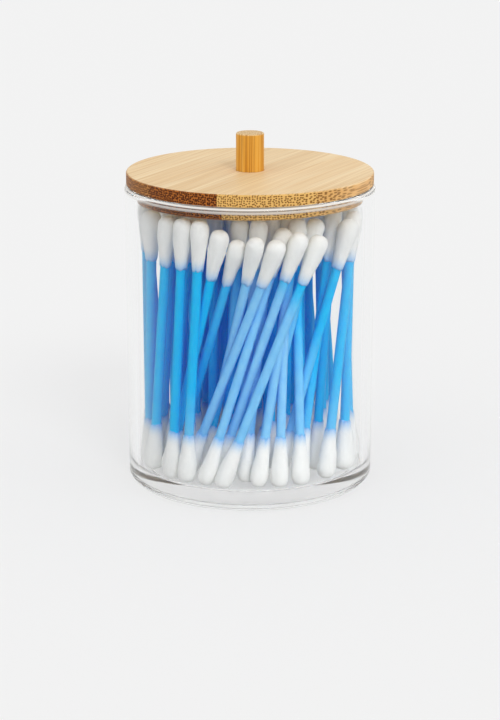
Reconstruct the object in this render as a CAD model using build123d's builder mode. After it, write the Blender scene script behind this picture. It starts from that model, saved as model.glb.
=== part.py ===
from build123d import *
import os
from math import cos, pi, sin, sqrt
import numpy as np

# A round clear jar of cotton swabs under a turned bamboo lid, in millimetres.
# The origin is the centre of the jar's base, +Z is up and the front faces -Y.

# Cotton swabs: a plastic stick with a cotton tip on each end
SWAB_LENGTH = 75.0
STICK_DIAMETER = 2.5
TIP_DIAMETER = 5.0
TIP_LENGTH = 14.0
TIP_CROWN = 0.9               # height of the blunt crown at the free end
TIP_CROWN_DIAMETER = 4.0
TIP_BELLY = 4.0               # from the free end to the widest section
COTTON_EDGE = 0.3             # thickness of the cotton where it feathers out on the stick
SWAB_SIDES = 6                # flat-sided sections keep a whole jarful of swabs light
SWAB_GAP = 0.25               # air between neighbouring swabs, and between swabs and jar
PACKING = 0.5                 # share of the jar's floor that the tips cover

# Clear jar, moulded in one piece
JAR_DIAMETER = 70.0
JAR_WALL = 3.0
JAR_FLOOR = 5.0
RIM_EASE = 0.8                # flats stand for the small rounded edges
MOUTH_EASE = 0.6
BASE_ROUND = 1.6
FLOOR_CORNER = 1.0
FOOT_RING_WIDTH = 6.0
FOOT_RECESS = 0.6
GATE_MARK_DIAMETER = 3.0
GATE_MARK_HEIGHT = 0.3

# Bamboo lid: a disc that rests on the rim, with a plug that drops into the mouth
LID_SETBACK = 0.5             # the disc stops this far inside the jar's outer wall
LID_THICKNESS = 3.4
LID_EDGE = 0.4
PLUG_DEPTH = 4.0
PLUG_CLEARANCE = 0.5
PLUG_EDGE = 0.6
HEADROOM = 1.0                # from an upright swab's end to the plug

# Knob: a short bamboo dowel glued into a blind hole in the lid
KNOB_DIAMETER = 7.8
KNOB_HEIGHT = 10.5            # above the lid
KNOB_SOCKET = 4.0
KNOB_EDGE = 0.4
GLUE_GAP = 0.05

jar_radius = JAR_DIAMETER / 2
bore_radius = jar_radius - JAR_WALL
jar_height = JAR_FLOOR + SWAB_LENGTH + HEADROOM + PLUG_DEPTH
lid_top = jar_height + LID_THICKNESS
plug_bottom = jar_height - PLUG_DEPTH
socket_bottom = lid_top - KNOB_SOCKET

# The swabs that show through the front, by where each foot and head stands:
# degrees round from the front, towards +X, and the share of the way out to the wall.
FRONT_SWABS = [
    (-84, 1.00, -86, 1.00),
    (-73, 1.00, -60, 1.00),
    (-62, 1.00, -47, 1.00),
    (-51, 1.00, -36, 1.00),
    (-38, 1.00, -25, 1.00),
    (-58, 0.81, -14, 1.00),
    (-75, 0.81, -4, 1.00),
    (-58, 0.61, 7, 1.00),
    (-45, 0.81, 17, 1.00),
    (-28, 1.00, 19, 0.79),
    (-24, 0.80, 28, 1.00),
    (-17, 1.00, 41, 1.00),
    (-5, 0.86, 20, 0.59),
    (4, 1.00, 32, 0.79),
    (15, 1.00, 36, 0.59),
    (27, 1.00, 50, 0.46),
    (17, 0.80, 66, 1.00),
    (6, 0.62, 46, 0.80),
    (34, 0.82, 72, 0.82),
    (44, 1.00, 80, 1.00),
    (61, 1.00, 96, 1.00),
    (52, 0.78, 92, 0.80),
    (80, 1.00, 110, 1.00),
    (-36, 0.52, -8, 0.78),
    (-14, 0.52, 5, 0.78),
]
FILL_TWIST = 20.0             # degrees that the other swabs lean round the jar
FILL_LEAN = 0.4               # share of a tip's width that each leans its own way
GOLDEN_ANGLE = pi * (3 - sqrt(5))
SETTLE_STEPS = 150
SETTLE_LEVEL = 1.5            # height between the levels at which the swabs are kept apart
SETTLE_RATE = 0.2
TINY = 1e-9                   # keeps a distance of nothing from dividing

# Sections of a cotton tip, from its free end: distance along the swab, and radius
tip_sections = [
    (0.0, 0.0),
    (TIP_CROWN, TIP_CROWN_DIAMETER / 2),
    (TIP_BELLY, TIP_DIAMETER / 2),
    (TIP_LENGTH, STICK_DIAMETER / 2 + COTTON_EDGE),
]


def swab_radius(along):
    """Radius of a swab at a distance along it from its foot, and 0 beyond its ends."""
    from_end = np.minimum(along, SWAB_LENGTH - along)
    distances = [distance for distance, _ in tip_sections] + [TIP_LENGTH]
    radii = [radius for _, radius in tip_sections] + [STICK_DIAMETER / 2]
    return np.where(from_end < 0, 0.0, np.interp(from_end, distances, radii))


def polar(degrees, radius):
    """Points at these angles round from the front of the jar, and these radii."""
    angle = np.radians(degrees)
    return np.stack([radius * np.sin(angle), -radius * np.cos(angle)], axis=-1)


def place_swabs():
    """First guess of where each swab's foot and head stand, before they settle."""
    reach = bore_radius - TIP_DIAMETER / 2 - SWAB_GAP
    front = np.array(FRONT_SWABS)
    count = int(PACKING * (2 * bore_radius / TIP_DIAMETER) ** 2)
    order = np.arange(count) + 0.5
    spread = reach * np.sqrt(order / count)
    turn = np.degrees(order * GOLDEN_ANGLE)
    fill_feet = polar(turn, spread)
    fill_heads = polar(turn + FILL_TWIST, spread) + polar(turn * order, FILL_LEAN * TIP_DIAMETER)
    feet = polar(front[:, 0], front[:, 1] * reach)
    heads = polar(front[:, 2], front[:, 3] * reach)
    free = np.full(count, True)
    for foot in feet + (heads - feet) / 2:
        distance = np.where(free, np.hypot(*(fill_feet - foot).T), np.inf)
        free[np.argmin(distance)] = False
    return np.concatenate([feet, fill_feet[free]]), np.concatenate([heads, fill_heads[free]])


def stand(feet, heads):
    """Height of each swab's foot end on the floor, and how far it rises to its head end."""
    lean = np.hypot(*(heads - feet).T)
    rise = np.sqrt(SWAB_LENGTH**2 - lean**2)
    drops = [(radius * lean - distance * rise) / SWAB_LENGTH for distance, radius in tip_sections]
    return JAR_FLOOR + SWAB_GAP + np.maximum.reduce(drops), rise


def settle(feet, heads):
    """Push leaning swabs apart and off the wall until they are clear at every level."""
    levels = np.arange(JAR_FLOOR + SWAB_GAP, plug_bottom, SETTLE_LEVEL)[:, None]
    for _ in range(SETTLE_STEPS):
        bottom, rise = stand(feet, heads)
        share = (levels - bottom) / rise
        radius = swab_radius(share * SWAB_LENGTH) * SWAB_LENGTH / rise
        centre = feet + share[..., None] * (heads - feet)
        apart = centre[:, :, None] - centre[:, None]
        distance = np.hypot(apart[..., 0], apart[..., 1]) + TINY
        touch = (radius[:, :, None] > 0) & (radius[:, None] > 0) & ~np.eye(len(feet), dtype=bool)
        depth = np.where(touch, radius[:, :, None] + radius[:, None] + SWAB_GAP - distance, 0.0)
        push = (apart / distance[..., None] * np.maximum(depth, 0)[..., None]).sum(axis=2) / 2
        out = np.hypot(centre[..., 0], centre[..., 1]) + TINY
        over = np.where(radius > 0, np.maximum(out + radius + SWAB_GAP - bore_radius, 0), 0.0)
        push -= centre / out[..., None] * over[..., None]
        feet = feet + SETTLE_RATE * ((1 - share)[..., None] * push).sum(axis=0)
        heads = heads + SETTLE_RATE * (share[..., None] * push).sum(axis=0)
    return feet, heads


def swab_planes():
    """One plane for each swab, at its foot end, with its axis along the swab."""
    feet, heads = settle(*place_swabs())
    bottom, rise = stand(feet, heads)
    planes = []
    for foot, head, low, high in zip(feet.tolist(), heads.tolist(), bottom.tolist(), rise.tolist()):
        axis = (head[0] - foot[0], head[1] - foot[1], high)
        planes.append(Plane(origin=(foot[0], foot[1], low), z_dir=axis))
    return planes


swab_places = [Location(plane) for plane in swab_planes()]

# One stick, between the two tips
with BuildPart() as stick:
    with BuildSketch(Plane.XY.offset(TIP_LENGTH)):
        RegularPolygon(STICK_DIAMETER / 2, SWAB_SIDES)
    extrude(amount=SWAB_LENGTH - 2 * TIP_LENGTH)

# The lower tip, a faceted bud that tapers on to the stick
tip_corners = [(0, 0, 0)] + [
    (radius * cos(2 * pi * side / SWAB_SIDES), radius * sin(2 * pi * side / SWAB_SIDES), distance)
    for distance, radius in tip_sections[1:]
    for side in range(SWAB_SIDES)
]
with BuildPart() as lower_tip:
    ConvexPolyhedron(tip_corners)

# The upper tip is the same bud at the other end
with BuildPart() as upper_tip:
    ConvexPolyhedron([(x, y, SWAB_LENGTH - z) for x, y, z in tip_corners])

with BuildPart() as swab_sticks:
    with Locations(*swab_places):
        add(stick.part)

with BuildPart() as lower_swab_tips:
    with Locations(*swab_places):
        add(lower_tip.part)

with BuildPart() as upper_swab_tips:
    with Locations(*swab_places):
        add(upper_tip.part)

# The jar turns about its axis: wall, floor and the shallow recess inside the foot ring
base_bend = BASE_ROUND * (1 - cos(pi / 4))
with BuildPart() as jar:
    with BuildSketch(Plane.XZ):
        with BuildLine():
            Polyline(
                (0, FOOT_RECESS),
                (jar_radius - FOOT_RING_WIDTH, FOOT_RECESS),
                (jar_radius - FOOT_RING_WIDTH, 0),
                (jar_radius - BASE_ROUND, 0),
                (jar_radius - base_bend, base_bend),
                (jar_radius, BASE_ROUND),
                (jar_radius, jar_height - RIM_EASE),
                (jar_radius - RIM_EASE, jar_height),
                (bore_radius + MOUTH_EASE, jar_height),
                (bore_radius, jar_height - MOUTH_EASE),
                (bore_radius, JAR_FLOOR + FLOOR_CORNER),
                (bore_radius - FLOOR_CORNER, JAR_FLOOR),
                (0, JAR_FLOOR),
                close=True,
            )
        make_face()
    revolve(axis=Axis.Z)
    with BuildSketch(Plane.XY.offset(FOOT_RECESS)):
        Circle(GATE_MARK_DIAMETER / 2)
    extrude(amount=-GATE_MARK_HEIGHT)

# The lid is turned from one board: the disc above the rim and the plug below it
with BuildPart() as lid:
    with BuildSketch(Plane.XY.offset(jar_height)):
        Circle(jar_radius - LID_SETBACK)
    extrude(amount=LID_THICKNESS)
    with BuildSketch(Plane.XY.offset(jar_height)):
        Circle(bore_radius - PLUG_CLEARANCE)
    extrude(amount=-PLUG_DEPTH)
    chamfer(lid.edges().group_by(Axis.Z)[-1], LID_EDGE)
    chamfer(lid.edges().group_by(Axis.Z)[0], PLUG_EDGE)
    with BuildSketch(Plane.XY.offset(lid_top)):
        Circle(KNOB_DIAMETER / 2 + GLUE_GAP)
    extrude(amount=-KNOB_SOCKET, mode=Mode.SUBTRACT)

with BuildPart() as knob:
    with BuildSketch(Plane.XY.offset(socket_bottom)):
        Circle(KNOB_DIAMETER / 2)
    extrude(amount=KNOB_SOCKET + KNOB_HEIGHT)
    chamfer(knob.edges().group_by(Axis.Z)[-1], KNOB_EDGE)

os.makedirs("parts", exist_ok=True)
pieces = {
    "jar": jar,
    "lid": lid,
    "knob": knob,
    "swab_sticks": swab_sticks,
    "lower_swab_tips": lower_swab_tips,
    "upper_swab_tips": upper_swab_tips,
}
for name, piece in pieces.items():
    piece.part.label = name
    export_step(piece.part, f"parts/{name}.step")
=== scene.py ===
import math
import random

import bmesh
import bpy
from mathutils import Matrix, Vector, noise


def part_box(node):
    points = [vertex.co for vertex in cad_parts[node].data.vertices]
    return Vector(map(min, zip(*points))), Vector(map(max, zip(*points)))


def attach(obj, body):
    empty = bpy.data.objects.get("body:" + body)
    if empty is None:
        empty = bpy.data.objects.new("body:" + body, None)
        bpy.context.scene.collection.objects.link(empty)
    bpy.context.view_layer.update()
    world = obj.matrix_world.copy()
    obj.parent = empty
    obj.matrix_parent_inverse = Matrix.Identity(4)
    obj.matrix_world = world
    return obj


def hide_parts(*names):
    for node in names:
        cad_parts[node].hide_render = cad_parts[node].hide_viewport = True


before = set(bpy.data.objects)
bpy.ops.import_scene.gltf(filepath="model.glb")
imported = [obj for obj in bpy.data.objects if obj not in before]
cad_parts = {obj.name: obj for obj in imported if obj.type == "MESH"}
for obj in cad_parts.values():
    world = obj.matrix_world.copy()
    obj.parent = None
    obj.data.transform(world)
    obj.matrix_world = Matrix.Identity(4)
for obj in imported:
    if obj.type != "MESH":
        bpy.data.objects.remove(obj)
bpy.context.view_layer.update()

MM = 0.001
UP = Vector((0, 0, 1))
BLACK = (0, 0, 0)
WHITE = (1, 1, 1)

# Photograph: a 500 x 720 frame, its focal length in pixels and where the camera stood
PHOTO_HEIGHT = 720
FOCAL_PIXELS = 1908.9
CAMERA_PLACE = (0.0, -524.2 * MM, 190.75 * MM)
CAMERA_PITCH = math.radians(16.74)
SENSOR = 36.0

# Jar details that its box doesn't give
WALL = 3.0 * MM
FLOOR = 5.0 * MM
RIM_ROUND = 1.5 * MM
MOUTH_ROUND = 0.9 * MM
BASE_ROUND = 1.6 * MM
FLOOR_ROUND = 1.0 * MM
FOOT_RING = 6.0 * MM
FOOT_RECESS = 0.6 * MM
GATE_RADIUS = 1.5 * MM
GATE_HEIGHT = 0.3 * MM

# Lid and knob
PLUG_RADIUS = 31.5 * MM
LID_ROUND = 0.5 * MM
PLUG_ROUND = 0.6 * MM
SOCKET_DEPTH = 4.0 * MM
SOCKET_GAP = 0.05 * MM
KNOB_ROUND = 0.45 * MM
GRAIN_ANGLE = math.radians(62)

# Rounds on the small edges of any piece
EASED_EDGE = 0.25 * MM
CRISP_EDGE = 0.1 * MM

# Turned shapes
LATHE_SIDES = 192
KNOB_SIDES = 64
ARC_STEPS = 8
SUPPORT = 0.2 * MM
SUPPORTED_RUN = 4 * SUPPORT
ON_AXIS = 1e-9


def link_mesh(name, bm, material):
    """A finished mesh object with smooth shading and one material."""
    bmesh.ops.recalc_face_normals(bm, faces=bm.faces)
    mesh = bpy.data.meshes.new(name)
    bm.to_mesh(mesh)
    bm.free()
    mesh.polygons.foreach_set("use_smooth", [True] * len(mesh.polygons))
    mesh.materials.append(material)
    piece = bpy.data.objects.new(name, mesh)
    bpy.context.scene.collection.objects.link(piece)
    return piece


def store(piece, name, values):
    """Keeps one number per vertex under a name that a material reads."""
    layer = piece.data.attributes.new(name, "FLOAT", "POINT")
    layer.data.foreach_set("value", values)


def rounded(corners):
    """Turns (radius, height, round) corners into profile points, with an arc at each rounded corner."""
    points = []
    for index, (r, z, size) in enumerate(corners):
        here = Vector((r, z))
        if size == 0:
            points.append(here)
            continue
        before = (Vector(corners[index - 1][:2]) - here).normalized()
        after = (Vector(corners[index + 1][:2]) - here).normalized()
        half = before.angle(after) / 2
        reach = size / math.tan(half)
        centre = here + (before + after).normalized() * (size / math.sin(half))
        start = (here + before * reach - centre).normalized()
        end = (here + after * reach - centre).normalized()
        points += [centre + start.slerp(end, step / ARC_STEPS) * size for step in range(ARC_STEPS + 1)]
    return points


def supported(points):
    """Adds a point just inside both ends of each long straight run, so that shading stays flat there."""
    result = []
    for here, there in zip(points, points[1:]):
        run = there - here
        result.append(here)
        if run.length > SUPPORTED_RUN:
            step = run.normalized() * SUPPORT
            result += [here + step, there - step]
    return result + [points[-1]]


def lathe(name, corners, material, sides=LATHE_SIDES):
    """Turns a profile that starts and ends on the axis round +Z."""
    bm = bmesh.new()
    angles = [2 * math.pi * side / sides for side in range(sides)]
    rings = []
    for radius, height in supported(rounded(corners)):
        if radius < ON_AXIS:
            rings.append([bm.verts.new((0, 0, height))])
            continue
        places = [(radius * math.cos(angle), radius * math.sin(angle), height) for angle in angles]
        rings.append([bm.verts.new(place) for place in places])
    for low, high in zip(rings, rings[1:]):
        for side in range(sides):
            after = (side + 1) % sides
            if len(low) == 1:
                bm.faces.new((low[0], high[side], high[after]))
            elif len(high) == 1:
                bm.faces.new((low[side], high[0], low[after]))
            else:
                bm.faces.new((low[side], high[side], high[after], low[after]))
    return link_mesh(name, bm, material)


# Places of the colour sockets on a Mix node, which also has some for numbers and vectors
MIX_FIRST = 6
MIX_SECOND = 7
MIX_RESULT = 2


def new_material(name):
    """A new material with its node tree and its Principled shader."""
    material = bpy.data.materials.new(name)
    material.use_nodes = True
    return material, material.node_tree, material.node_tree.nodes["Principled BSDF"]


def feed(tree, socket, value):
    """Sets a socket to a plain number or an RGB tuple, or links it to another socket."""
    if isinstance(value, (int, float)):
        socket.default_value = value
    elif isinstance(value, tuple):
        socket.default_value = (*value, 1)
    else:
        tree.links.new(value, socket)


def math_node(tree, operation, first, second=0):
    """A Math node fed by sockets or plain numbers; returns its output."""
    node = tree.nodes.new("ShaderNodeMath")
    node.operation = operation
    feed(tree, node.inputs[0], first)
    feed(tree, node.inputs[1], second)
    return node.outputs[0]


def times(tree, first, second):
    """The product of two sockets, or of a socket and a number."""
    return math_node(tree, "MULTIPLY", first, second)


def plus(tree, first, second):
    """The sum of two sockets, or of a socket and a number."""
    return math_node(tree, "ADD", first, second)


def dot(tree, place, direction):
    """How far a vector socket reaches along a fixed direction."""
    node = tree.nodes.new("ShaderNodeVectorMath")
    node.operation = "DOT_PRODUCT"
    tree.links.new(place, node.inputs[0])
    node.inputs[1].default_value = direction
    return node.outputs["Value"]


def combine(tree, *parts):
    """A vector socket from two or three number sockets."""
    node = tree.nodes.new("ShaderNodeCombineXYZ")
    for socket, part in zip(node.inputs, parts):
        tree.links.new(part, socket)
    return node.outputs[0]


def ramp(tree, factor, stops, blend="LINEAR"):
    """A colour ramp over factor with (position, colour) stops; returns its colour."""
    node = tree.nodes.new("ShaderNodeValToRGB")
    node.color_ramp.interpolation = blend
    elements = node.color_ramp.elements
    while len(elements) < len(stops):
        elements.new(0.5)
    for element, (position, colour) in zip(elements, stops):
        element.position = position
        element.color = (*colour, 1)
    tree.links.new(factor, node.inputs[0])
    return node.outputs[0]


def rise(tree, value, start, end):
    """0 below start, 1 above end and an even fade between them."""
    return ramp(tree, value, [(start, BLACK), (end, WHITE)])


def fall(tree, value, start, end):
    """1 below start, 0 above end and an even fade between them."""
    return ramp(tree, value, [(start, WHITE), (end, BLACK)])


def mix_colour(tree, factor, first, second, blend="MIX"):
    """Mixes two colours, each a socket or an RGB tuple; returns the result."""
    node = tree.nodes.new("ShaderNodeMix")
    node.data_type = "RGBA"
    node.blend_type = blend
    feed(tree, node.inputs[0], factor)
    feed(tree, node.inputs[MIX_FIRST], first)
    feed(tree, node.inputs[MIX_SECOND], second)
    return node.outputs[MIX_RESULT]


def mix_shaders(tree, factor, first, second):
    """Mixes the outputs of two shaders by a socket or a plain number; returns the result."""
    node = tree.nodes.new("ShaderNodeMixShader")
    feed(tree, node.inputs[0], factor)
    tree.links.new(first, node.inputs[1])
    tree.links.new(second, node.inputs[2])
    return node.outputs[0]


def show(tree, shade):
    """Makes a shader's output the surface of its material."""
    tree.links.new(shade, tree.nodes["Material Output"].inputs["Surface"])


def object_place(tree):
    """Where a point lies on its piece, in metres."""
    return tree.nodes.new("ShaderNodeTexCoord").outputs["Object"]


def stored(tree, name):
    """A number that was stored on the piece's vertices."""
    node = tree.nodes.new("ShaderNodeAttribute")
    node.attribute_name = name
    return node.outputs["Fac"]


def noise_at(tree, place, detail, scale=1.0, distortion=0.0):
    """Soft noise at a place, about 0 to 1."""
    node = tree.nodes.new("ShaderNodeTexNoise")
    node.inputs["Scale"].default_value = scale
    node.inputs["Detail"].default_value = detail
    node.inputs["Distortion"].default_value = distortion
    tree.links.new(place, node.inputs["Vector"])
    return node.outputs["Fac"]


def bump(tree, shader, height, strength, distance):
    """Roughens a shader's surface by a height socket."""
    node = tree.nodes.new("ShaderNodeBump")
    node.inputs["Strength"].default_value = strength
    node.inputs["Distance"].default_value = distance
    tree.links.new(height, node.inputs["Height"])
    tree.links.new(node.outputs[0], shader.inputs["Normal"])


def srgb(red, green, blue):
    """Linear colour of an 8-bit screen colour, by the sRGB formula."""
    def linear(value):
        value /= 255
        return value / 12.92 if value <= 0.04045 else ((value + 0.055) / 1.055) ** 2.4
    return linear(red), linear(green), linear(blue)


# Strips of the glued board: where each starts across the grain, and how dark it is from 0 to 1
BOARD_REACH = 51 * MM
BOARD = {
    "strips": [(-BOARD_REACH, 0.25), (-29.5 * MM, 0.0), (-8.1 * MM, 1.0), (13.3 * MM, 0.75)],
    "dark": srgb(230, 192, 138),
    "mid": srgb(245, 217, 171),
    "light": srgb(251, 230, 192),
    "patch": 0.5,
    "strip_shade": (0.93, 0.86, 0.76),
    "strip_contrast": 0.2,
    "side_shade": (0.92, 0.74, 0.54),
    "end_light": srgb(236, 188, 108),
    "end_dark": srgb(184, 106, 38),
    "bundle": srgb(66, 26, 0),
    "bundle_pale": srgb(112, 64, 16),
    "bundle_rate": 1700.0,
    "disorder": 0.6,
    "tone_swell": 0.13,
    "dot_core": 0.24,
    "dot_rim": 0.42,
    "dot_end": 0.55,
    "dot_side": 0.30,
    "dot_long": 0.10,
}
DOWEL = dict(
    BOARD,
    strips=[(-BOARD_REACH, 0.0), (0.0, 0.0)],
    dark=srgb(214, 146, 44),
    mid=srgb(238, 180, 78),
    light=srgb(246, 200, 110),
    strip_contrast=0.0,
    side_shade=WHITE,
    end_light=srgb(236, 204, 150),
    end_dark=srgb(228, 188, 124),
    bundle_pale=srgb(160, 94, 18),
    disorder=1.0,
    tone_swell=0.0,
    dot_end=0.1,
    dot_side=0.0,
    dot_long=0.5,
)

# Bamboo fibres: how many swings a metre each noise makes along the grain and both ways across it
WANDER_RATES = (40.0, 60.0, 60.0)
STREAK_RATES = (30.0, 2300.0, 2300.0)
PATCH_RATES = (14.0, 330.0, 330.0)
WANDER_REACH = 0.9 * MM       # how far the fibres stray sideways
STRIP_SHIFT = 12.3 * MM       # sets the fibres of a dark strip off from those of a pale one
STREAK_STOPS = (0.28, 0.5, 0.74)
PATCH_LIMITS = (0.36, 0.62)
END_LIMITS = (0.1, 0.6)       # how squarely a face cuts the fibres: a long face, a cut end
SIDE_LIMITS = (0.2, 0.8)      # how far a face looks up or down: an upright side, a level face
END_STREAK = 0.2
BUNDLE_RELIEF = 0.6


def grain_axes(grain):
    """Directions along the fibres, across the glued strips and square to both."""
    along = grain.normalized()
    across = UP.cross(along)
    upright = across.length < 0.5
    if upright:
        across = Vector((1, 0, 0))
    across.normalize()
    return along, across, along.cross(across)


def grain_noise(tree, places, rates, detail):
    """Noise over the grain's own directions, with a rate for each."""
    parts = [times(tree, place, rate) for place, rate in zip(places, rates)]
    return noise_at(tree, combine(tree, *parts), detail)


def strip_tone(tree, across, strips):
    """How dark the glued strip at a place is, from 0 to 1."""
    share = plus(tree, times(tree, across, 0.5 / BOARD_REACH), 0.5)
    stops = [(0.5 + 0.5 * start / BOARD_REACH, (tone,) * 3) for start, tone in strips]
    return ramp(tree, share, stops, "CONSTANT")


def bundle_spots(tree, side, third, tone, board):
    """1 in the core of a fibre bundle and 0 between the bundles, which are larger in a dark strip."""
    rate = board["bundle_rate"]
    bundles = tree.nodes.new("ShaderNodeTexVoronoi")
    bundles.voronoi_dimensions = "2D"
    bundles.inputs["Scale"].default_value = 1.0
    bundles.inputs["Randomness"].default_value = board["disorder"]
    section = combine(tree, times(tree, side, rate), times(tree, third, rate))
    tree.links.new(section, bundles.inputs["Vector"])
    swell = times(tree, tone, board["tone_swell"])
    spread = math_node(tree, "SUBTRACT", bundles.outputs["Distance"], swell)
    return fall(tree, spread, board["dot_core"], board["dot_rim"])


def long_face(tree, streak, patch, tone, upright, board):
    """Colour of a face along the grain: streaks, broad patches, the strip's tone and darker sides."""
    base = ramp(tree, streak, list(zip(STREAK_STOPS, (board["dark"], board["mid"], board["light"]))))
    base = mix_colour(tree, times(tree, patch, board["patch"]), base, board["dark"])
    shaded = mix_colour(tree, 1.0, base, board["strip_shade"], "MULTIPLY")
    base = mix_colour(tree, times(tree, tone, board["strip_contrast"]), base, shaded)
    shaded = mix_colour(tree, 1.0, base, board["side_shade"], "MULTIPLY")
    return mix_colour(tree, upright, base, shaded)


def cut_end(tree, streak, tone, board):
    """Colour of a face across the grain, between its bundles."""
    base = mix_colour(tree, tone, board["end_light"], board["end_dark"])
    return mix_colour(tree, times(tree, streak, END_STREAK), base, board["bundle"])


def bamboo(name, grain, board):
    """Bamboo as a solid: fibre bundles along the grain, dots on a cut end and streaks on a long face."""
    material, tree, shader = new_material(name)
    along, across, third = grain_axes(grain)
    place = object_place(tree)
    u, v, w = (dot(tree, place, axis) for axis in (along, across, third))

    # Each glued strip has its own tone and its own run of fibres, which wander a little
    tone = strip_tone(tree, v, board["strips"])
    wander = times(tree, grain_noise(tree, (u, v, w), WANDER_RATES, detail=1.0), WANDER_REACH)
    side = plus(tree, plus(tree, v, wander), times(tree, tone, STRIP_SHIFT))
    streak = grain_noise(tree, (u, side, w), STREAK_RATES, detail=3.0)
    patch = fall(tree, grain_noise(tree, (u, side, w), PATCH_RATES, detail=2.0), *PATCH_LIMITS)
    spot = bundle_spots(tree, side, w, tone, board)

    normal = tree.nodes.new("ShaderNodeNewGeometry").outputs["True Normal"]
    end_grain = rise(tree, math_node(tree, "ABSOLUTE", dot(tree, normal, along)), *END_LIMITS)
    upright = fall(tree, math_node(tree, "ABSOLUTE", dot(tree, normal, UP)), *SIDE_LIMITS)
    face = long_face(tree, streak, patch, tone, upright, board)
    base = mix_colour(tree, end_grain, face, cut_end(tree, streak, tone, board))
    depth = plus(tree, times(tree, end_grain, board["dot_end"]), times(tree, upright, board["dot_side"]))
    depth = plus(tree, depth, board["dot_long"])
    bundle = mix_colour(tree, tone, board["bundle_pale"], board["bundle"])
    base = mix_colour(tree, times(tree, spot, depth), base, bundle)
    tree.links.new(base, shader.inputs["Base Color"])

    relief = math_node(tree, "SUBTRACT", streak, times(tree, spot, BUNDLE_RELIEF))
    bump(tree, shader, relief, strength=0.15, distance=0.2 * MM)
    shader.inputs["Roughness"].default_value = 0.48
    shader.inputs["Specular IOR Level"].default_value = 0.15
    return material


# Painted highlights on the jar's rim, drawn as pale matt lines: depth below the rim, and how white it is
# there
PAINTED_RIM_HIGHLIGHTS = [
    (2.0 * MM, 0.0), (1.75 * MM, 0.4), (1.25 * MM, 0.6), (1.1 * MM, 0.05), (0.88 * MM, 0.05),
    (0.76 * MM, 0.85), (0.42 * MM, 0.85), (0.3 * MM, 0.05),
]
RIM_POWER = 30                # spreads the top few millimetres over the colour ramp
MATT_BELOW = 0.65 * MM        # the underside is matt up to this height
MATT_SHARE = 0.12
ACRYLIC_COLOUR = (0.985, 0.99, 0.99, 1)
ACRYLIC_SHINE = (0.2, 0.2, 0.2, 1)    # weakens reflections, which would veil the swabs
ACRYLIC_IOR = 1.49
# Matt white of the underside and of the painted rim highlights, a little warm as a painted reflection of
# the bamboo lid
FROST_AND_HIGHLIGHT_COLOUR = (0.9, 0.88, 0.84, 1)


def matt_and_highlight_share(tree):
    """How matt the jar is at a height: in lines on its rim that paint its highlights, and a little
    underneath.
    """
    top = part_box("jar")[1].z
    place = tree.nodes.new("ShaderNodeSeparateXYZ")
    tree.links.new(object_place(tree), place.inputs[0])
    height = place.outputs["Z"]
    spread = math_node(tree, "POWER", math_node(tree, "DIVIDE", height, top), RIM_POWER)
    stops = [((1 - depth / top) ** RIM_POWER, (white,) * 3) for depth, white in PAINTED_RIM_HIGHLIGHTS]
    underside = math_node(tree, "LESS_THAN", height, MATT_BELOW)
    return math_node(tree, "MAXIMUM", ramp(tree, spread, stops), times(tree, underside, MATT_SHARE))


def clear_plastic():
    """Clear acrylic that lets lamps through to what stands inside, a little matt underneath, with matt
    lines at its rim as painted highlights.
    """
    material, tree, shader = new_material("clear_plastic")
    shader.inputs["Base Color"].default_value = ACRYLIC_COLOUR
    shader.inputs["Transmission Weight"].default_value = 1.0
    shader.inputs["Roughness"].default_value = 0.0
    shader.inputs["IOR"].default_value = ACRYLIC_IOR
    shader.inputs["Specular Tint"].default_value = ACRYLIC_SHINE
    frost_and_highlight = tree.nodes.new("ShaderNodeBsdfDiffuse")
    frost_and_highlight.inputs["Color"].default_value = FROST_AND_HIGHLIGHT_COLOUR
    clear = tree.nodes.new("ShaderNodeBsdfTransparent")
    shadow_ray = tree.nodes.new("ShaderNodeLightPath").outputs["Is Shadow Ray"]
    # The matt white lines at the rim are painted highlights
    shade = mix_shaders(tree, matt_and_highlight_share(tree), shader.outputs[0], frost_and_highlight.outputs[0])
    show(tree, mix_shaders(tree, shadow_ray, shade, clear.outputs[0]))
    return material


# Stick plastic: plain and pale colours, pale for milky sticks and for the painted reflection, each from
# its darker to its lighter patches
DEEP_BLUES = (srgb(0, 194, 255), srgb(2, 204, 255))
PALE_BLUES = (srgb(146, 210, 254), srgb(162, 219, 255))
BLUE_RATE = 420.0
BLUE_STOPS = (0.3, 0.7)
BLUE_GLOW = 0.12


def blue_plastic():
    """Translucent blue stick plastic, milkier on some sticks than on others, paler where a painted
    reflection lies on the front, and a little uneven.
    """
    material, tree, shader = new_material("blue_plastic")
    patch = noise_at(tree, object_place(tree), detail=3.0, scale=BLUE_RATE)
    deep = ramp(tree, patch, list(zip(BLUE_STOPS, DEEP_BLUES)))
    pale = ramp(tree, patch, list(zip(BLUE_STOPS, PALE_BLUES)))
    # Pale blue where a stick is milky, and where the painted reflection of the table pales it
    colour = mix_colour(tree, stored(tree, "milk_and_reflection"), deep, pale)
    tree.links.new(colour, shader.inputs["Base Color"])
    glow = tree.nodes.new("ShaderNodeBsdfTranslucent")
    tree.links.new(colour, glow.inputs["Color"])
    show(tree, mix_shaders(tree, BLUE_GLOW, shader.outputs[0], glow.outputs[0]))
    bump(tree, shader, patch, strength=0.05, distance=0.1 * MM)
    shader.inputs["Roughness"].default_value = 0.35
    shader.inputs["Specular IOR Level"].default_value = 0.1
    return material


# Cotton: its darker and lighter fibres, and its colour where the stick shows through
COTTON_WHITES = (srgb(238, 239, 237), srgb(250, 250, 248))
COTTON_THIN = srgb(132, 192, 242)
FIBRE_STOPS = (0.25, 0.75)
FIBRE_RATES = (2600.0, 2600.0, 800.0)


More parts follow.
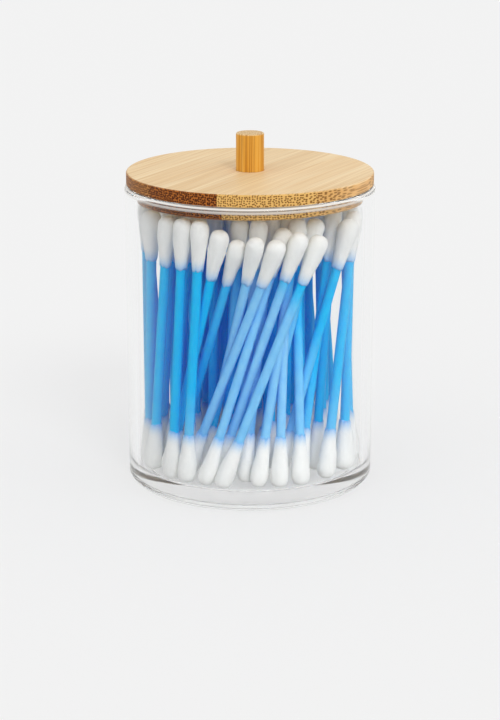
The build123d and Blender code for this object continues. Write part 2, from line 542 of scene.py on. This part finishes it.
def cotton():
    """Wound cotton: matt white fibre, blue-tinged where it thins out on the stick."""
    material, tree, shader = new_material("cotton")
    stretch = tree.nodes.new("ShaderNodeVectorMath")
    stretch.operation = "MULTIPLY"
    stretch.inputs[1].default_value = FIBRE_RATES
    tree.links.new(object_place(tree), stretch.inputs[0])
    fibre = noise_at(tree, stretch.outputs[0], detail=5.0, distortion=1.5)
    white = ramp(tree, fibre, list(zip(FIBRE_STOPS, COTTON_WHITES)))
    colour = mix_colour(tree, stored(tree, "thin"), white, COTTON_THIN)
    tree.links.new(colour, shader.inputs["Base Color"])
    bump(tree, shader, fibre, strength=0.5, distance=0.2 * MM)
    shader.inputs["Roughness"].default_value = 0.95
    shader.inputs["Specular IOR Level"].default_value = 0.1
    shader.inputs["Sheen Weight"].default_value = 0.1
    shader.inputs["Sheen Roughness"].default_value = 0.6
    return material


def build_jar(material):
    """The jar again as one smooth shell, with the small rounds that the plain solid leaves as flats."""
    low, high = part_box("jar")
    radius, top = high.x, high.z
    bore = radius - WALL
    ring = radius - FOOT_RING
    piece = lathe("jar_shell", [
        (0, FOOT_RECESS - GATE_HEIGHT, 0),
        (GATE_RADIUS, FOOT_RECESS - GATE_HEIGHT, CRISP_EDGE),
        (GATE_RADIUS, FOOT_RECESS, CRISP_EDGE),
        (ring, FOOT_RECESS, EASED_EDGE),
        (ring, low.z, EASED_EDGE),
        (radius, low.z, BASE_ROUND),
        (radius, top, RIM_ROUND),
        (bore, top, MOUTH_ROUND),
        (bore, FLOOR, FLOOR_ROUND),
        (0, FLOOR, 0),
    ], material)
    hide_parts("jar")
    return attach(piece, "jar")


def build_lid(material):
    """Disc and plug turned from one board, with eased edges."""
    low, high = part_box("lid")
    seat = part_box("jar")[1].z
    socket = (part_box("knob")[1].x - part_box("knob")[0].x) / 2 + SOCKET_GAP
    piece = lathe("lid_board", [
        (0, low.z, 0),
        (PLUG_RADIUS, low.z, PLUG_ROUND),
        (PLUG_RADIUS, seat, CRISP_EDGE),
        (high.x, seat, EASED_EDGE),
        (high.x, high.z, LID_ROUND),
        (socket, high.z, CRISP_EDGE),
        (socket, high.z - SOCKET_DEPTH, CRISP_EDGE),
        (0, high.z - SOCKET_DEPTH, 0),
    ], material)
    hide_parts("lid")
    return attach(piece, "lid")


def build_knob(material):
    """The dowel, with its rounded top edge."""
    low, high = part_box("knob")
    piece = lathe("knob_dowel", [
        (0, low.z, 0),
        (high.x, low.z, CRISP_EDGE),
        (high.x, high.z, KNOB_ROUND),
        (0, high.z, 0),
    ], material, KNOB_SIDES)
    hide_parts("knob")
    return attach(piece, "lid")


WELD = 1e-6
SORT_DIGITS = 6               # sticks are put in order by their lower ends, to a micrometre


def islands(bm):
    """Lists of vertices that edges join, one for each solid, in an order that is the same each run."""
    seen = set()
    for first in bm.verts:
        if first in seen:
            continue
        seen.add(first)
        island = [first]
        todo = [first]
        while todo:
            vert = todo.pop()
            near = [edge.other_vert(vert) for edge in vert.link_edges]
            fresh = [other for other in near if other not in seen]
            seen.update(fresh)
            island += fresh
            todo += fresh
        yield island


def centre_of(points):
    """The mean of a list of points."""
    return sum(points, Vector()) / len(points)


def stick_ends():
    """Lower and upper end centre of each stick, read from the solids in the frame."""
    bm = bmesh.new()
    bm.from_mesh(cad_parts["swab_sticks"].data)
    bmesh.ops.remove_doubles(bm, verts=bm.verts, dist=WELD)
    ends = []
    for island in islands(bm):
        middle = sum(vert.co.z for vert in island) / len(island)
        low = [vert.co for vert in island if vert.co.z < middle]
        high = [vert.co for vert in island if vert.co.z >= middle]
        ends.append((centre_of(low), centre_of(high)))
    bm.free()
    return sorted(ends, key=lambda pair: [round(part, SORT_DIGITS) for part in pair[0].xy])


def tube(bm, start, axis, sections, sides, turn=0.0):
    """Adds a closed tube along axis through (distance, radius) sections; returns its rings of vertices."""
    side = Matrix.Rotation(turn, 3, axis) @ axis.orthogonal().normalized()
    other = axis.cross(side)
    angles = [2 * math.pi * step / sides for step in range(sides)]
    spokes = [side * math.cos(angle) + other * math.sin(angle) for angle in angles]
    rings = []
    for distance, radius in sections:
        centre = start + axis * distance
        rings.append([bm.verts.new(centre + spoke * radius) for spoke in spokes])
    for low, high in zip(rings, rings[1:]):
        for step in range(sides):
            after = (step + 1) % sides
            bm.faces.new((low[step], low[after], high[after], high[step]))
    bm.faces.new(list(reversed(rings[0])))
    bm.faces.new(rings[-1])
    return rings


STICK_RADIUS = 1.25 * MM
STICK_SIDES = 20
STICK_RINGS = 17
STICK_RUN_IN = 3.0 * MM       # how far a stick goes on inside the cotton
STICK_SEED = 11
OWN_MILK = (0.0, 0.05)        # how milky any stick is
WEDGE_REFLECTION = (0.65, 0.95)     # how much the painted reflection pales it inside the wedge

# Painted reflection: sticks are painted paler in a wedge on the front that widens downwards, where the
# jar's front mirrors the white table
PALE_TOP = 68 * MM
PALE_CENTRE = 2 * MM
PALE_FADE = 6 * MM
PALE_HALF_WIDTH = 7 * MM
PALE_SPREAD = 0.4
PALE_DRIFT = 0.1
PALE_DEPTH = 14 * MM


def painted_reflection(place):
    """How strongly the painted reflection pales a stick at a place, from 0 to 1."""
    below = PALE_TOP - place.z
    half = PALE_HALF_WIDTH + PALE_SPREAD * below
    inside = half - abs(place.x - PALE_CENTRE - PALE_DRIFT * below)
    parts = (below, inside, -place.y - PALE_DEPTH)
    return math.prod(max(0.0, min(1.0, part / PALE_FADE)) for part in parts)


def build_sticks(ends, material):
    """Round sticks that run on into the cotton at both ends."""
    bm = bmesh.new()
    milk_and_reflection = []
    draw = random.Random(STICK_SEED)
    for low, high in ends:
        axis = (high - low).normalized()
        length = (high - low).length
        reach = length + 2 * STICK_RUN_IN
        distances = [reach * ring / (STICK_RINGS - 1) - STICK_RUN_IN for ring in range(STICK_RINGS)]
        tube(bm, low, axis, [(distance, STICK_RADIUS) for distance in distances], STICK_SIDES)
        # Each stick's own milkiness, plus the painted reflection where it passes through the wedge
        own = draw.uniform(*OWN_MILK)
        strength = draw.uniform(*WEDGE_REFLECTION)
        for distance in distances:
            milk_and_reflection += [own + strength * painted_reflection(low + axis * distance)] * STICK_SIDES
    piece = link_mesh("swab_sticks_round", bm, material)
    store(piece, "milk_and_reflection", milk_and_reflection)
    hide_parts("swab_sticks")
    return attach(piece, "jar")


# Cotton tip outline: share of the tip's length from its free end, and share of its radius
TIP_OUTLINE = [
    (0.0, 0.02), (0.004, 0.26), (0.016, 0.48), (0.038, 0.67), (0.068, 0.81), (0.11, 0.92), (0.16, 0.98),
    (0.22, 1.0), (0.29, 0.99), (0.36, 0.96), (0.44, 0.92), (0.52, 0.87), (0.60, 0.815), (0.68, 0.76),
    (0.76, 0.71), (0.83, 0.67), (0.89, 0.64), (0.94, 0.62), (0.975, 0.60), (1.0, 0.55),
]
TIP_RADIUS = 2.5 * MM
TIP_LENGTH = 14.0 * MM
TIP_SIDES = 28
LOWER_SEED = 3
UPPER_SEED = 7
TIP_PLUMP = (0.96, 1.03)      # how thick a tip is against the others
TIP_TURN = (0, 6)             # how far a tip is turned about its stick, in radians
NOISE_PLACE = (0, 50)         # where in the noise a tip takes its lumps from

# Unevenness of the cotton: its depth, and how many swings it makes in a metre
TIP_LUMP = 0.16 * MM
LUMP_RATE = 320
TIP_WISP = 0.07 * MM
WISP_RATE = 1100
FULL_LUMPS = 1.2              # lumps shrink where the radius share times this is under 1
NECK_RAGGED = 0.9 * MM
RAGGED_RATE = 2.2             # counted round the neck, not by the metre
NECK_FROM = 0.7               # share of the tip's length where the ragged neck begins
NECK_SPAN = 0.3
NECK_CALM = 0.7               # share of the lumps that the neck loses
THIN_FROM = 0.70              # share of the tip's length from which the blue shows through


def ruffle(ring, centre, axis, share, part, place):
    """Moves a ring of a tip by lumps and wisps, and makes it ragged towards the neck."""
    neck = max(0.0, (share - NECK_FROM) / NECK_SPAN)
    for vert in ring:
        out = (vert.co - centre).normalized()
        lump = noise.noise(vert.co * LUMP_RATE + place) * TIP_LUMP
        lump += noise.noise(vert.co * WISP_RATE + place) * TIP_WISP
        ragged = noise.noise(out * RAGGED_RATE + place) * NECK_RAGGED * neck
        vert.co += out * lump * min(1.0, part * FULL_LUMPS) * (1 - NECK_CALM * neck) + axis * ragged


def build_tips(name, node, ends, upper, material):
    """Soft cotton buds, each a little lumpy and not quite like the next."""
    bm = bmesh.new()
    thin = []
    draw = random.Random(UPPER_SEED if upper else LOWER_SEED)
    for low, high in ends:
        neck, other = (high, low) if upper else (low, high)
        axis = (neck - other).normalized()
        end = neck + axis * TIP_LENGTH
        plump = draw.uniform(*TIP_PLUMP)
        place = Vector([draw.uniform(*NOISE_PLACE) for _ in range(3)])
        sections = [(share * TIP_LENGTH, part * TIP_RADIUS * plump) for share, part in TIP_OUTLINE]
        rings = tube(bm, end, -axis, sections, TIP_SIDES, draw.uniform(*TIP_TURN))
        for (share, part), ring in zip(TIP_OUTLINE, rings):
            ruffle(ring, end - axis * share * TIP_LENGTH, axis, share, part, place)
            thin += [max(0.0, (share - THIN_FROM) / (1 - THIN_FROM)) ** 2] * TIP_SIDES
    piece = link_mesh(name, bm, material)
    store(piece, "thin", thin)
    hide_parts(node)
    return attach(piece, "jar")


# Studio: brightness of the floor, the light from all round and the backdrop, where 1 is white
FLOOR_SIZE = 6.0
FLOOR_DROP = 0.1 * MM
FLOOR_COLOUR = 0.80
FLOOR_GLOW = 0.95
FLOOR_GLOW_SHARE = 0.62
WORLD_LIGHT = 0.77
BACKDROP = 0.888

# Lamps: name, strength, softness in degrees and turn in degrees
LAMPS = [
    ("key", 0.76, 20, (50, 0, 25)),
    ("left", 0.26, 60, (65, 0, -60)),
    ("right", 0.26, 60, (65, 0, 60)),
]

# Light goes on for long inside clear plastic, and less long between matt surfaces
CLEAR_BOUNCES = 128
MATT_BOUNCES = 12


def seen_directly(tree):
    """1 where the camera sees something itself, in a reflection or through clear plastic."""
    path = tree.nodes.new("ShaderNodeLightPath")
    direct = math_node(tree, "MAXIMUM", path.outputs["Is Camera Ray"], path.outputs["Is Transmission Ray"])
    return math_node(tree, "MAXIMUM", direct, path.outputs["Is Glossy Ray"])


def build_floor():
    """Pale floor that keeps a faint shadow."""
    material, tree, shader = new_material("floor")
    shader.inputs["Base Color"].default_value = (FLOOR_COLOUR, FLOOR_COLOUR, FLOOR_COLOUR, 1)
    shader.inputs["Roughness"].default_value = 1.0
    shader.inputs["Specular IOR Level"].default_value = 0.0
    glow = tree.nodes.new("ShaderNodeEmission")
    glow.inputs["Color"].default_value = (FLOOR_GLOW, FLOOR_GLOW, FLOOR_GLOW, 1)
    share = times(tree, seen_directly(tree), FLOOR_GLOW_SHARE)
    show(tree, mix_shaders(tree, share, shader.outputs[0], glow.outputs[0]))
    bm = bmesh.new()
    bmesh.ops.create_grid(bm, x_segments=1, y_segments=1, size=FLOOR_SIZE)
    floor = link_mesh("floor", bm, material)
    floor.location.z = -FLOOR_DROP


def build_light():
    """Even light from all round and three soft lamps."""
    world = bpy.data.worlds.new("studio")
    bpy.context.scene.world = world
    world.use_nodes = True
    tree = world.node_tree
    light = mix_colour(tree, seen_directly(tree), (WORLD_LIGHT,) * 3, (BACKDROP,) * 3)
    tree.links.new(light, tree.nodes["Background"].inputs["Color"])
    for name, strength, softness, turn in LAMPS:
        lamp = bpy.data.lights.new(name, "SUN")
        lamp.energy = strength
        lamp.angle = math.radians(softness)
        holder = bpy.data.objects.new(name, lamp)
        holder.rotation_euler = [math.radians(angle) for angle in turn]
        bpy.context.scene.collection.objects.link(holder)


def build_camera():
    """The photograph's view."""
    data = bpy.data.cameras.new("camera")
    data.sensor_width = SENSOR
    data.lens = FOCAL_PIXELS / PHOTO_HEIGHT * SENSOR
    camera = bpy.data.objects.new("camera", data)
    camera.location = CAMERA_PLACE
    camera.rotation_euler = (math.pi / 2 - CAMERA_PITCH, 0, 0)
    bpy.context.scene.collection.objects.link(camera)
    bpy.context.scene.camera = camera


def set_view():
    """Plain colours, and enough bounces for light to pass the jar."""
    scene = bpy.context.scene
    scene.view_settings.view_transform = "Standard"
    scene.cycles.max_bounces = CLEAR_BOUNCES
    scene.cycles.diffuse_bounces = MATT_BOUNCES
    scene.cycles.glossy_bounces = CLEAR_BOUNCES
    scene.cycles.transmission_bounces = CLEAR_BOUNCES


board_grain = Vector((math.cos(GRAIN_ANGLE), math.sin(GRAIN_ANGLE), 0))
build_jar(clear_plastic())
build_lid(bamboo("bamboo_board", board_grain, BOARD))
build_knob(bamboo("bamboo_dowel", UP, DOWEL))
ends = stick_ends()
build_sticks(ends, blue_plastic())
tip_cotton = cotton()
build_tips("lower_tips_soft", "lower_swab_tips", ends, False, tip_cotton)
build_tips("upper_tips_soft", "upper_swab_tips", ends, True, tip_cotton)
build_floor()
build_light()
build_camera()
set_view()
